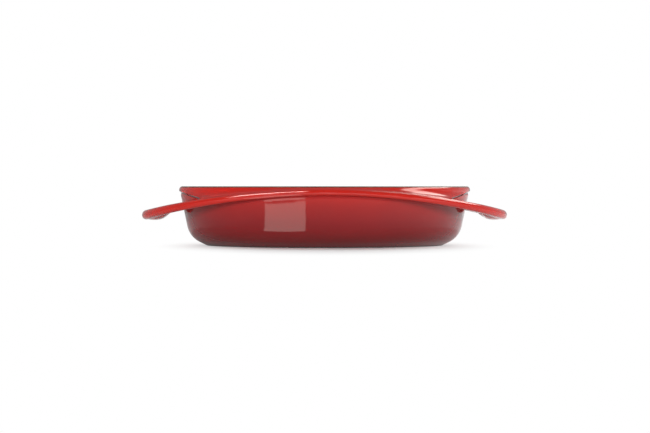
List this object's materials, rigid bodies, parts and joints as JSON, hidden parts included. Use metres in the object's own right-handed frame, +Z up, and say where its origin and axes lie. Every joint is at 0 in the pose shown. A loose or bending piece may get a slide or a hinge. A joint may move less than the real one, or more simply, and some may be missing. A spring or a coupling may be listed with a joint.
{
  "type": "tarte tatin dish",
  "caption": "Shallow round enamelled cast-iron baking dish with an arched wing that widens into a loop handle at each side, for baking tarts and turning them out.",
  "frame": {"origin": "centre of the flat that the dish stands on, at its underside", "axes": "+X from one handle to the other, +Y across the bowl from front to back, +Z up out of the baking well"},
  "size_m": [0.3398, 0.278, 0.055],
  "materials": {
    "iron": "matte",
    "red_enamel": "gloss",
    "black_enamel": "satin",
    "rim_enamel": "satin",
    "base_enamel": "satin"
  },
  "bodies": {
    "root": {"iron_casting": "iron", "exterior_enamel": "red_enamel", "interior_enamel": "black_enamel", "rim_enamel": "rim_enamel", "base_enamel": "base_enamel"}
  },
  "joints": []
}
